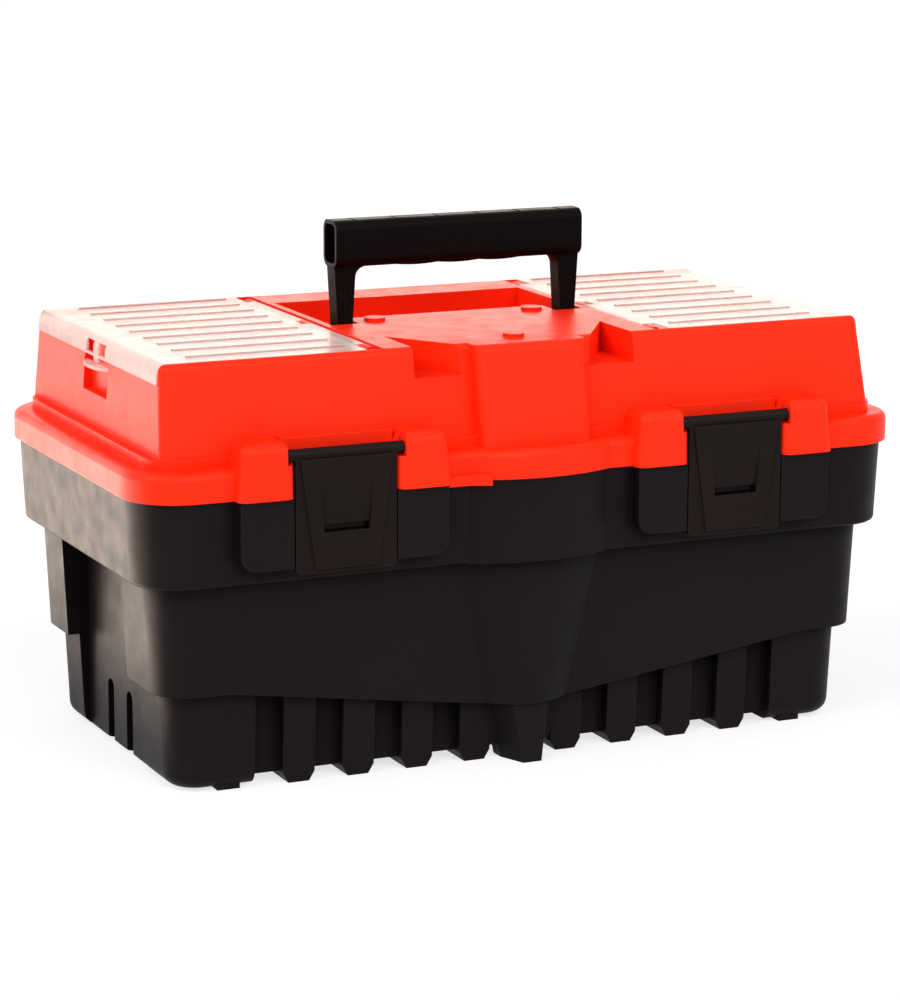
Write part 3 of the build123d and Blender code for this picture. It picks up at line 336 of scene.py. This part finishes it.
def turned_steel(name, shade):
    """Bright drawn steel with fine marks round the pin and a little staining."""
    material, graph = new_graph(name)
    place = graph.node("TexCoord").outputs["Object"]
    marks = graph.node("Mapping", {"Vector": place, "Scale": DRAWN_SCALE})
    drawn = graph.noise(marks.outputs[0], 1.0, 2.0)
    stain = graph.spread(graph.noise(place, STAIN_SCALE, 4.0), 0.35, 0.7, 0.0, 0.7)
    base = graph.blend(stain, tinted(shade, 1.0), tinted(shade, 0.72))
    rough = graph.spread(drawn, 0.3, 0.7, 0.24, 0.40)
    bump = graph.node("Bump", {"Strength": 0.2, "Distance": DRAWN_DEPTH, "Height": drawn})
    shader = graph.node(
        "BsdfPrincipled",
        {"Base Color": base, "Metallic": 1.0, "Roughness": rough, "Normal": bump.outputs[0]},
    )
    graph.node("OutputMaterial", {"Surface": shader.outputs[0]})
    return material


def dress(names, material):
    """Give CAD nodes a finish and smooth shading up to their sharp edges."""
    for name in names:
        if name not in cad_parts:
            raise RuntimeError(f"the frame has no node named {name}")
        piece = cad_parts[name]
        piece.data.materials.clear()
        piece.data.materials.append(material)
        piece.data.shade_smooth()
        piece.data.set_sharp_from_angle(angle=SMOOTH_ANGLE)


class TOOLBOX_OT_tub(Operator):
    """Finish the tub in grained near-black plastic"""

    bl_idname = "tool_box.tub"
    bl_label = "Tub"

    def execute(self, context):
        finishes = context.scene.tool_box_finishes
        dress(["tub"], black_plastic("tub_plastic", finishes.tub_colour, finishes))
        return {"FINISHED"}


class TOOLBOX_OT_tray(Operator):
    """Finish the lift-out tray in dark plastic"""

    bl_idname = "tool_box.tray"
    bl_label = "Tray"

    def execute(self, context):
        finishes = context.scene.tool_box_finishes
        dress(["tray"], black_plastic("tray_plastic", finishes.tray_colour, finishes))
        return {"FINISHED"}


class TOOLBOX_OT_lid(Operator):
    """Finish the lid in satin orange-red plastic"""

    bl_idname = "tool_box.lid"
    bl_label = "Lid"

    def execute(self, context):
        finishes = context.scene.tool_box_finishes
        dress(
            ["lid_shell"],
            moulded_plastic(
                "lid_plastic",
                finishes.lid_colour,
                finishes.lid_roughness,
                finishes.lid_gloss,
                finishes,
                # The lid's edges lighten less for wear and painted highlight, and its corners take less
                # painted shade.
                wear_and_highlight_tone=1.3,
                wear_and_highlight_amount=0.4,
                grain=0.5,
                dark=0.15,
            ),
        )
        return {"FINISHED"}


class TOOLBOX_OT_handle(Operator):
    """Finish the carrying handle in black plastic"""

    bl_idname = "tool_box.handle"
    bl_label = "Handle"

    def execute(self, context):
        finishes = context.scene.tool_box_finishes
        plastic = black_plastic("handle_plastic", finishes.handle_colour, finishes, finishes.handle_gloss)
        dress(["handle"], plastic)
        return {"FINISHED"}


class TOOLBOX_OT_latches(Operator):
    """Finish both latches in brown-black plastic"""

    bl_idname = "tool_box.latches"
    bl_label = "Latches"

    def execute(self, context):
        finishes = context.scene.tool_box_finishes
        dress(LATCH_NODES, black_plastic("latch_plastic", finishes.latch_colour, finishes))
        return {"FINISHED"}


class TOOLBOX_OT_covers(Operator):
    """Finish the bins' covers and dividers in milky clear plastic"""

    bl_idname = "tool_box.covers"
    bl_label = "Covers and dividers"

    def execute(self, context):
        finishes = context.scene.tool_box_finishes
        dress(COVER_NODES + DIVIDER_NODES, clear_plastic("cover_plastic", finishes))
        return {"FINISHED"}


class TOOLBOX_OT_pins(Operator):
    """Finish the hinge, latch, cover and handle pins in drawn steel"""

    bl_idname = "tool_box.pins"
    bl_label = "Pins"

    def execute(self, context):
        dress(PIN_NODES, turned_steel("pin_steel", context.scene.tool_box_finishes.steel_colour))
        return {"FINISHED"}


def seen_directly(graph):
    """One for rays that the eye, a gloss or a clear part sends, nought for light that falls on things."""
    path = graph.node("LightPath")
    seen = graph.math("MAXIMUM", path.outputs["Is Camera Ray"], path.outputs["Is Glossy Ray"])
    return graph.math("MAXIMUM", seen, path.outputs["Is Transmission Ray"])


def add_floor(studio):
    """Plain pale floor that keeps the object's shadow."""
    half = studio.floor_half
    mesh = bpy.data.meshes.new("floor")
    corners = [(-half, -half, 0), (half, -half, 0), (half, half, 0), (-half, half, 0)]
    mesh.from_pydata(corners, [], [(0, 1, 2, 3)])
    floor = bpy.data.objects.new("floor", mesh)
    floor.location.z = FLOOR_LEVEL
    bpy.context.scene.collection.objects.link(floor)
    material, graph = new_graph("floor_white")
    plain = graph.node("BsdfDiffuse", {"Color": tinted(WHITE, FLOOR_SHADE)})
    shaded = graph.node("BsdfDiffuse", {"Color": tinted(WHITE, FLOOR_WHOLE - studio.floor_white)})
    glow = graph.node("Emission", {"Color": tinted(WHITE, 1.0), "Strength": studio.floor_white})
    white = graph.node("AddShader", {0: shaded.outputs[0], 1: glow.outputs[0]})
    chosen = graph.node("MixShader", {0: seen_directly(graph), 1: plain.outputs[0], 2: white.outputs[0]})
    graph.node("OutputMaterial", {"Surface": chosen.outputs[0]})
    mesh.materials.append(material)


def add_sky(studio):
    """White surroundings to look at and soft light from all round."""
    world = bpy.data.worlds.new("studio")
    bpy.context.scene.world = world
    world.use_nodes = True
    graph = Graph(world.node_tree)
    lit = graph.node("Background", {"Color": tinted(WHITE, 1.0), "Strength": studio.sky_level})
    white = graph.node("Background", {"Color": tinted(WHITE, 1.0), "Strength": 1.0})
    chosen = graph.node("MixShader", {0: seen_directly(graph), 1: lit.outputs[0], 2: white.outputs[0]})
    graph.node("OutputWorld", {"Surface": chosen.outputs[0]})


def add_lamp(name, towards, strength, angle):
    """Soft light from far off, falling in one direction."""
    lamp = bpy.data.lights.new(name, "SUN")
    lamp.energy = strength
    lamp.angle = angle
    holder = bpy.data.objects.new(name, lamp)
    holder.rotation_euler = Vector(towards).to_track_quat("-Z", "Y").to_euler()
    bpy.context.scene.collection.objects.link(holder)


def add_screen(name, place, aim, size, power, shade):
    """Large soft screen that shows in the gloss of the plastic and nowhere else."""
    lamp = bpy.data.lights.new(name, "AREA")
    lamp.shape = "RECTANGLE"
    lamp.size, lamp.size_y = size
    lamp.energy = power
    lamp.color = shade
    holder = bpy.data.objects.new(name, lamp)
    holder.location = place
    holder.rotation_euler = (Vector(aim) - Vector(place)).to_track_quat("-Z", "Y").to_euler()
    holder.visible_camera = False
    holder.visible_diffuse = False
    holder.visible_transmission = False
    bpy.context.scene.collection.objects.link(holder)


def add_camera(studio):
    """Camera at the picture's angle, placed by yaw, pitch and roll."""
    yaw = Matrix.Rotation(-studio.camera_yaw, 4, "Z")
    pitch = Matrix.Rotation(pi / 2 - studio.camera_pitch, 4, "X")
    roll = Matrix.Rotation(-studio.camera_roll, 4, "Z")
    lens = bpy.data.cameras.new("camera")
    lens.lens = studio.camera_lens
    lens.clip_end = 4 * studio.floor_half
    camera = bpy.data.objects.new("camera", lens)
    camera.matrix_world = Matrix.Translation(studio.camera_place) @ yaw @ pitch @ roll
    bpy.context.scene.collection.objects.link(camera)
    bpy.context.scene.camera = camera


class TOOLBOX_OT_stage(Operator):
    """Set up the floor, the soft light and the camera"""

    bl_idname = "tool_box.stage"
    bl_label = "Stage"

    def execute(self, context):
        studio = context.scene.tool_box_studio
        context.scene.view_settings.view_transform = "Standard"
        add_floor(studio)
        add_sky(studio)
        add_lamp("key", KEY_TOWARDS, studio.key_level, studio.lamp_angle)
        add_lamp("fill", FILL_TOWARDS, studio.fill_level, studio.lamp_angle)
        add_screen("end_glow", *END_SCREEN, studio.end_glow, studio.glow_colour)
        add_screen("floor_glow", *FLOOR_SCREEN, studio.floor_glow, studio.glow_colour)
        add_screen("top_glow", *TOP_SCREEN, studio.top_glow, studio.glow_colour)
        add_camera(studio)
        return {"FINISHED"}


class TOOLBOX_PT_panel(Panel):
    """Lists the pieces of the tool box and their values"""

    bl_idname = "TOOLBOX_PT_panel"
    bl_label = "Tool box"
    bl_space_type = "VIEW_3D"
    bl_region_type = "UI"
    bl_category = "Tool box"

    def draw(self, context):
        for operator in OPERATORS:
            self.layout.operator(operator.bl_idname)
        for group in (context.scene.tool_box_finishes, context.scene.tool_box_studio):
            for name in group.__annotations__:
                self.layout.prop(group, name)


OPERATORS = (
    TOOLBOX_OT_stage,
    TOOLBOX_OT_tub,
    TOOLBOX_OT_tray,
    TOOLBOX_OT_lid,
    TOOLBOX_OT_handle,
    TOOLBOX_OT_latches,
    TOOLBOX_OT_covers,
    TOOLBOX_OT_pins,
)
CLASSES = (ToolBoxFinishes, ToolBoxStudio) + OPERATORS + (TOOLBOX_PT_panel,)


def register():
    """Register the classes and hang the values on the scene."""
    for cls in CLASSES:
        bpy.utils.register_class(cls)
    bpy.types.Scene.tool_box_finishes = PointerProperty(type=ToolBoxFinishes)
    bpy.types.Scene.tool_box_studio = PointerProperty(type=ToolBoxStudio)


def unregister():
    """Undo register."""
    del bpy.types.Scene.tool_box_studio
    del bpy.types.Scene.tool_box_finishes
    for cls in reversed(CLASSES):
        bpy.utils.unregister_class(cls)


def main():
    """Make the whole scene."""
    register()
    bpy.ops.tool_box.stage()
    bpy.ops.tool_box.tub()
    bpy.ops.tool_box.tray()
    bpy.ops.tool_box.lid()
    bpy.ops.tool_box.handle()
    bpy.ops.tool_box.latches()
    bpy.ops.tool_box.covers()
    bpy.ops.tool_box.pins()


if __name__ == "__main__":
    main()
